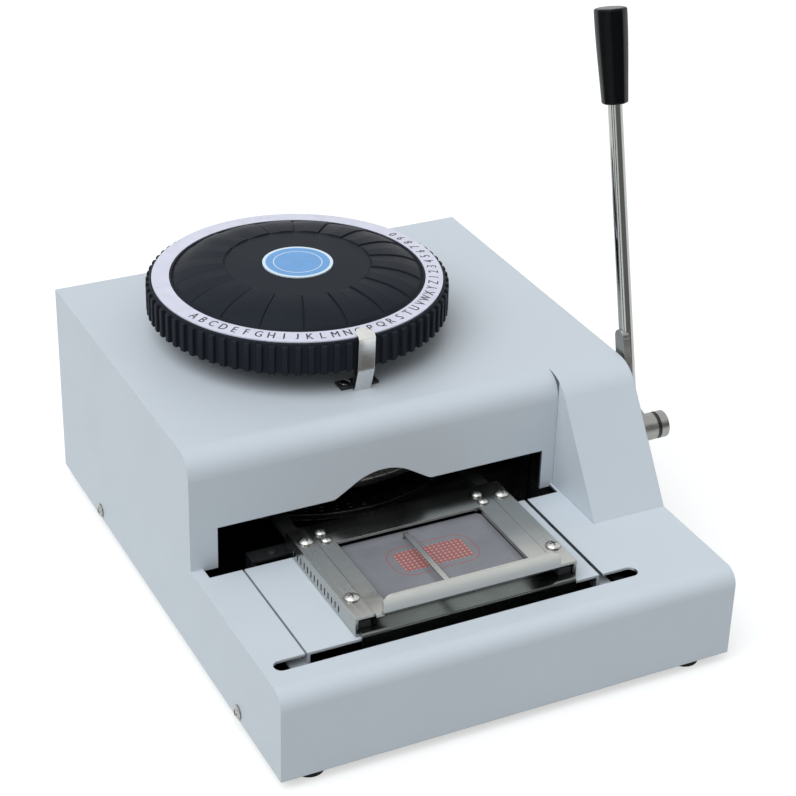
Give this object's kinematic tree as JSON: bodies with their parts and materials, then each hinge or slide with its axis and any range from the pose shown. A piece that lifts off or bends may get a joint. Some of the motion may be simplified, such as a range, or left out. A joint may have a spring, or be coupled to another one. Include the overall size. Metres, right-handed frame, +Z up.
{
  "type": "plastic card embosser",
  "caption": "Hand-lever machine that presses raised characters into a plastic card: lettered dial, paired type wheels, sliding card frame, painted sheet-metal casing.",
  "frame": {"origin": "on the table, below the middle of the machine's outline with the lever at rest", "axes": "+X to the user's right, where the lever is; +Y from the user to the machine's rear; +Z up"},
  "size_m": [0.2788, 0.3302, 0.3105],
  "materials": {
    "paint": "satin pale grey-blue enamel",
    "dark_sheet": "matte dark grey",
    "zinc": "bright zinc plated",
    "foot_rubber": "matte",
    "screw_steel": "nickel plated",
    "stainless": "brushed",
    "ground_steel": "ground",
    "cast": "machined and painted grey",
    "dial_plastic": "fine satin black",
    "ring_white": "printed white",
    "badge_blue": "plain pale blue",
    "grip_plastic": "moulded black",
    "chrome": "polished",
    "wheel_alloy": "machined",
    "spring_steel": "oiled",
    "card_plastic": "pale grey-lilac",
    "bronze": "sintered bronze"
  },
  "bodies": {
    "base": {"base_tray": "dark_sheet", "rubber_feet": "foot_rubber", "foot_screws": "screw_steel", "casing": "paint", "rear_panel": "paint", "casing_screws": "screw_steel", "rear_screws": "screw_steel", "bridge_panel": "paint", "bridge_posts": "zinc", "bridge_screws": "screw_steel", "sill_angle": "dark_sheet", "pointer": "stainless", "pointer_bracket": "dark_sheet", "pointer_screws": "screw_steel", "spindle_bearings": "ground_steel", "bearing_housing": "cast", "top_plate": "zinc", "frame_columns": "ground_steel", "detent_post": "ground_steel", "upper_press_arm": "cast", "lower_press_arm": "cast", "press_side_plate": "cast", "lever_brackets": "dark_sheet", "lever_spring": "spring_steel", "guide_rods": "ground_steel", "rod_brackets": "dark_sheet", "character_rack": "zinc"},
    "dial": {"dial": "dial_plastic", "character_ring": "ring_white", "dial_badge": "badge_blue", "dial_nut": "screw_steel", "spindle": "ground_steel", "spindle_sleeve": "ground_steel", "index_wheel": "zinc", "upper_type_wheel": "wheel_alloy", "upper_fingers": "spring_steel", "upper_punches": "ground_steel", "lower_type_wheel": "wheel_alloy", "lower_fingers": "spring_steel", "lower_punches": "ground_steel"},
    "detent": {"detent_arm": "zinc"},
    "lever": {"lever_shaft": "chrome", "lever_arm": "zinc", "lever_rod": "chrome", "lever_grip": "grip_plastic"},
    "drive_link": {"drive_link": "zinc"},
    "upper_shaft": {"upper_press_shaft": "ground_steel"},
    "cross_link": {"cross_link": "zinc"},
    "lower_shaft": {"lower_press_shaft": "ground_steel"},
    "upper_ram": {"upper_ram": "ground_steel"},
    "lower_ram": {"lower_ram": "ground_steel"},
    "carriage": {"carriage_tray": "stainless", "carriage_rails": "dark_sheet", "carriage_blocks": "dark_sheet"},
    "space_pawl": {"space_pawl": "zinc"},
    "line_detent": {"line_detent": "bronze"},
    "card_frame": {"side_channels": "stainless", "card_frame": "stainless", "card_holder": "stainless"},
    "card": {"card": "card_plastic"}
  },
  "joints": [
    {"name": "dial_spin", "type": "hinge", "parent": "base", "child": "dial", "pos_m": [-0.0266, 0.0655, 0.15], "axis": [0, 0, 1], "continuous": true},
    {"name": "detent_swing", "type": "hinge", "parent": "base", "child": "detent", "pos_m": [0.0083, 0.0955, 0.098], "axis": [0, 0, 1], "range_deg": [0, 3], "stiffness_Nm_per_rad": 0.5},
    {"name": "lever_pull", "type": "hinge", "parent": "base", "child": "lever", "pos_m": [0.1028, -0.0615, 0.0887], "axis": [1, 0, 0], "range_deg": [0, 60], "stiffness_Nm_per_rad": 0.4, "springref_deg": -28.65},
    {"name": "drive_link_pivot", "type": "hinge", "parent": "lever", "child": "drive_link", "pos_m": [0.0923, -0.06209, 0.07772], "axis": [1, 0, 0], "range_deg": [-60, 0]},
    {"name": "upper_shaft_turn", "type": "hinge", "parent": "base", "child": "upper_shaft", "pos_m": [0.0228, -0.0235, 0.108], "axis": [1, 0, 0], "range_deg": [0, 60]},
    {"name": "cross_link_pivot", "type": "hinge", "parent": "upper_shaft", "child": "cross_link", "pos_m": [0.079, -0.01397, 0.1025], "axis": [1, 0, 0], "range_deg": [-60, 0]},
    {"name": "lower_shaft_turn", "type": "hinge", "parent": "base", "child": "lower_shaft", "pos_m": [0.0228, -0.0235, 0.02], "axis": [1, 0, 0], "range_deg": [0, 60]},
    {"name": "upper_ram_slide", "type": "slide", "parent": "base", "child": "upper_ram", "axis": [0, 0, -1], "range_m": [0, 0.0045]},
    {"name": "lower_ram_slide", "type": "slide", "parent": "base", "child": "lower_ram", "axis": [0, 0, 1], "range_m": [0, 0.0045]},
    {"name": "carriage_slide", "type": "slide", "parent": "base", "child": "carriage", "axis": [1, 0, 0], "range_m": [-0.03556, 0.0254]},
    {"name": "space_pawl_swing", "type": "hinge", "parent": "carriage", "child": "space_pawl", "pos_m": [-0.0092, -0.1011, 0.04], "axis": [0, 1, 0], "range_deg": [-4, 0], "stiffness_Nm_per_rad": 0.02, "springref_deg": 5.73},
    {"name": "line_detent_slide", "type": "slide", "parent": "carriage", "child": "line_detent", "axis": [1, 0, 0], "range_m": [0, 0.0008], "stiffness_N_per_m": 100, "springref_m": -0.001},
    {"name": "card_frame_slide", "type": "slide", "parent": "carriage", "child": "card_frame", "axis": [0, 1, 0], "range_m": [0, 0.098]},
    {"name": "card_slide", "type": "slide", "parent": "card_frame", "child": "card", "axis": [0, -1, 0], "range_m": [0, 0.09]}
  ],
  "couplings": [
    {"joint": "drive_link_pivot", "follows": "lever_pull", "ratio": -1},
    {"joint": "upper_shaft_turn", "follows": "lever_pull", "ratio": 1},
    {"joint": "cross_link_pivot", "follows": "lever_pull", "ratio": -1},
    {"joint": "lower_shaft_turn", "follows": "lever_pull", "ratio": 1},
    {"joint": "upper_ram_slide", "follows": "lever_pull", "m_per_rad": 0.004297},
    {"joint": "lower_ram_slide", "follows": "lever_pull", "m_per_rad": 0.004297}
  ]
}
